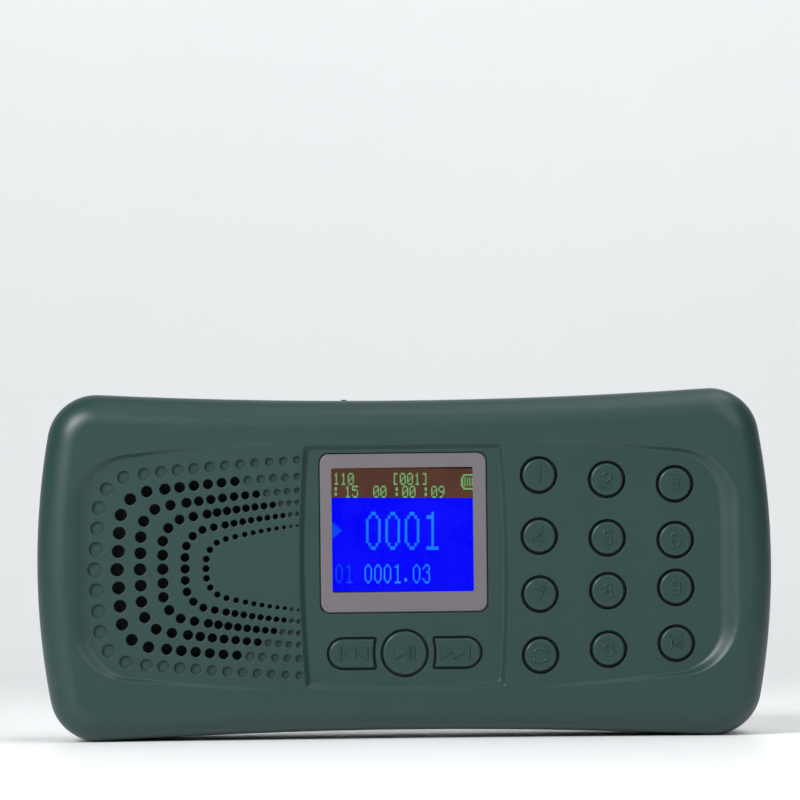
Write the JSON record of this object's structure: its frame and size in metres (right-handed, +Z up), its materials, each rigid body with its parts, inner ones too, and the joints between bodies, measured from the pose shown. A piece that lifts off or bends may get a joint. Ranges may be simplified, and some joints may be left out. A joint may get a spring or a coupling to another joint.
{
  "type": "electronic game caller",
  "caption": "Hand-size electronic game caller: dished case with a perforated loudspeaker grille, a backlit display over transport keys and a round-key number pad.",
  "frame": {"origin": "on the surface that the case stands on, below the middle of the case", "axes": "+X to the right seen from the front, -Y out of the front, +Z up; the case stands on its long lower side"},
  "size_m": [0.1797, 0.0459, 0.0842],
  "materials": {
    "case_plastic": "fine-grained matte moulding",
    "key_plastic": "fine matte moulding",
    "frame_grey": "satin mauve grey",
    "lens_clear": "clear, glossy",
    "lcd_face": "backlit blue with a brown band on top",
    "backlight_white": "plain",
    "ribbon_amber": "amber film",
    "connector_white": "plain",
    "board_green": "solder mask",
    "chip_black": "moulded resin",
    "sink_aluminium": "extruded fins",
    "capacitor_sleeve": "shrunk sleeve",
    "mat_silicone": "matte silicone",
    "screw_steel": "zinc plated",
    "contact_nickel": "nickel plated",
    "cell_wrap": "heat-shrunk sleeve",
    "lead_red": "insulated wire",
    "lead_black": "insulated wire",
    "cloth_black": "open-weave dust cloth",
    "basket_black": "pressed steel, black",
    "cone_paper": "treated paper",
    "surround_rubber": "half roll",
    "coil_copper": "enamelled copper",
    "magnet_ferrite": "ground ferrite",
    "plate_steel": "zinc plated",
    "knob_black": "satin black",
    "shaft_steel": "turned",
    "control_black": "moulded",
    "socket_steel": "stamped",
    "insert_white": "moulded",
    "pin_brass": "turned"
  },
  "bodies": {
    "case": {"audio_jack": "control_black", "battery_cells": "cell_wrap", "battery_contacts": "contact_nickel", "battery_lead": "lead_red", "board_chips": "chip_black", "board_screws": "screw_steel", "card_socket": "socket_steel", "case_screws": "screw_steel", "display_frame": "frame_grey", "display_lens": "lens_clear", "front_shell": "case_plastic", "heat_sink": "sink_aluminium", "lcd_backlight": "backlight_white", "lcd_panel": "lcd_face", "lcd_ribbon": "ribbon_amber", "lead_connectors": "connector_white", "main_board": "board_green", "pad_mat": "mat_silicone", "power_jack": "control_black", "power_jack_pin": "pin_brass", "power_switch_body": "control_black", "rear_shell": "case_plastic", "ribbon_connector": "connector_white", "smoothing_capacitors": "capacitor_sleeve", "speaker_cloth": "cloth_black", "speaker_frame": "basket_black", "speaker_lead": "lead_black", "speaker_magnet": "magnet_ferrite", "speaker_pole_plate": "plate_steel", "speaker_screws": "screw_steel", "speaker_spider": "cone_paper", "speaker_surround": "surround_rubber", "speaker_top_plate": "plate_steel", "transport_mat": "mat_silicone", "usb_insert": "insert_white", "usb_shell": "socket_steel", "volume_control": "control_black"},
    "key_1": {"key_1": "key_plastic"},
    "key_2": {"key_2": "key_plastic"},
    "key_3": {"key_3": "key_plastic"},
    "key_4": {"key_4": "key_plastic"},
    "key_5": {"key_5": "key_plastic"},
    "key_6": {"key_6": "key_plastic"},
    "key_7": {"key_7": "key_plastic"},
    "key_8": {"key_8": "key_plastic"},
    "key_9": {"key_9": "key_plastic"},
    "key_loop": {"key_loop": "key_plastic"},
    "key_0": {"key_0": "key_plastic"},
    "key_menu": {"key_menu": "key_plastic"},
    "key_play": {"key_play": "key_plastic"},
    "key_previous": {"key_previous": "key_plastic"},
    "key_next": {"key_next": "key_plastic"},
    "cone_assembly": {"speaker_cone": "cone_paper", "voice_coil": "coil_copper", "dust_cap": "cone_paper"},
    "door": {"battery_door": "case_plastic", "door_screws": "screw_steel"},
    "volume": {"volume_knob": "knob_black", "volume_shaft": "shaft_steel"},
    "power_switch": {"power_switch_knob": "knob_black"}
  },
  "joints": [
    {"name": "press_1", "type": "slide", "parent": "case", "child": "key_1", "axis": [0, 1, 0], "range_m": [0, 0.001], "stiffness_N_per_m": 900, "springref_m": -0.0005, "deforming": ["pad_mat"]},
    {"name": "press_2", "type": "slide", "parent": "case", "child": "key_2", "axis": [0, 1, 0], "range_m": [0, 0.001], "stiffness_N_per_m": 900, "springref_m": -0.0005, "deforming": ["pad_mat"]},
    {"name": "press_3", "type": "slide", "parent": "case", "child": "key_3", "axis": [0, 1, 0], "range_m": [0, 0.001], "stiffness_N_per_m": 900, "springref_m": -0.0005, "deforming": ["pad_mat"]},
    {"name": "press_4", "type": "slide", "parent": "case", "child": "key_4", "axis": [0, 1, 0], "range_m": [0, 0.001], "stiffness_N_per_m": 900, "springref_m": -0.0005, "deforming": ["pad_mat"]},
    {"name": "press_5", "type": "slide", "parent": "case", "child": "key_5", "axis": [0, 1, 0], "range_m": [0, 0.001], "stiffness_N_per_m": 900, "springref_m": -0.0005, "deforming": ["pad_mat"]},
    {"name": "press_6", "type": "slide", "parent": "case", "child": "key_6", "axis": [0, 1, 0], "range_m": [0, 0.001], "stiffness_N_per_m": 900, "springref_m": -0.0005, "deforming": ["pad_mat"]},
    {"name": "press_7", "type": "slide", "parent": "case", "child": "key_7", "axis": [0, 1, 0], "range_m": [0, 0.001], "stiffness_N_per_m": 900, "springref_m": -0.0005, "deforming": ["pad_mat"]},
    {"name": "press_8", "type": "slide", "parent": "case", "child": "key_8", "axis": [0, 1, 0], "range_m": [0, 0.001], "stiffness_N_per_m": 900, "springref_m": -0.0005, "deforming": ["pad_mat"]},
    {"name": "press_9", "type": "slide", "parent": "case", "child": "key_9", "axis": [0, 1, 0], "range_m": [0, 0.001], "stiffness_N_per_m": 900, "springref_m": -0.0005, "deforming": ["pad_mat"]},
    {"name": "press_loop", "type": "slide", "parent": "case", "child": "key_loop", "axis": [0, 1, 0], "range_m": [0, 0.001], "stiffness_N_per_m": 900, "springref_m": -0.0005, "deforming": ["pad_mat"]},
    {"name": "press_0", "type": "slide", "parent": "case", "child": "key_0", "axis": [0, 1, 0], "range_m": [0, 0.001], "stiffness_N_per_m": 900, "springref_m": -0.0005, "deforming": ["pad_mat"]},
    {"name": "press_menu", "type": "slide", "parent": "case", "child": "key_menu", "axis": [0, 1, 0], "range_m": [0, 0.001], "stiffness_N_per_m": 900, "springref_m": -0.0005, "deforming": ["pad_mat"]},
    {"name": "press_play", "type": "slide", "parent": "case", "child": "key_play", "axis": [0, 1, 0], "range_m": [0, 0.001], "stiffness_N_per_m": 900, "springref_m": -0.0005, "deforming": ["transport_mat"]},
    {"name": "press_previous", "type": "slide", "parent": "case", "child": "key_previous", "axis": [0, 1, 0], "range_m": [0, 0.001], "stiffness_N_per_m": 900, "springref_m": -0.0005, "deforming": ["transport_mat"]},
    {"name": "press_next", "type": "slide", "parent": "case", "child": "key_next", "axis": [0, 1, 0], "range_m": [0, 0.001], "stiffness_N_per_m": 900, "springref_m": -0.0005, "deforming": ["transport_mat"]},
    {"name": "cone_travel", "type": "slide", "parent": "case", "child": "cone_assembly", "axis": [0, -1, 0], "range_m": [-0.001, 0.001], "stiffness_N_per_m": 1500, "deforming": ["speaker_surround", "speaker_spider"]},
    {"name": "door_lift", "type": "slide", "parent": "case", "child": "door", "axis": [0, 1, 0], "range_m": [0, 0.02]},
    {"name": "volume_turn", "type": "hinge", "parent": "case", "child": "volume", "pos_m": [-0.086, 0.006, 0.0424], "axis": [1, 0, 0], "range_deg": [-135, 135]},
    {"name": "power_slide", "type": "slide", "parent": "case", "child": "power_switch", "axis": [1, 0, 0], "range_m": [0, 0.004]}
  ]
}
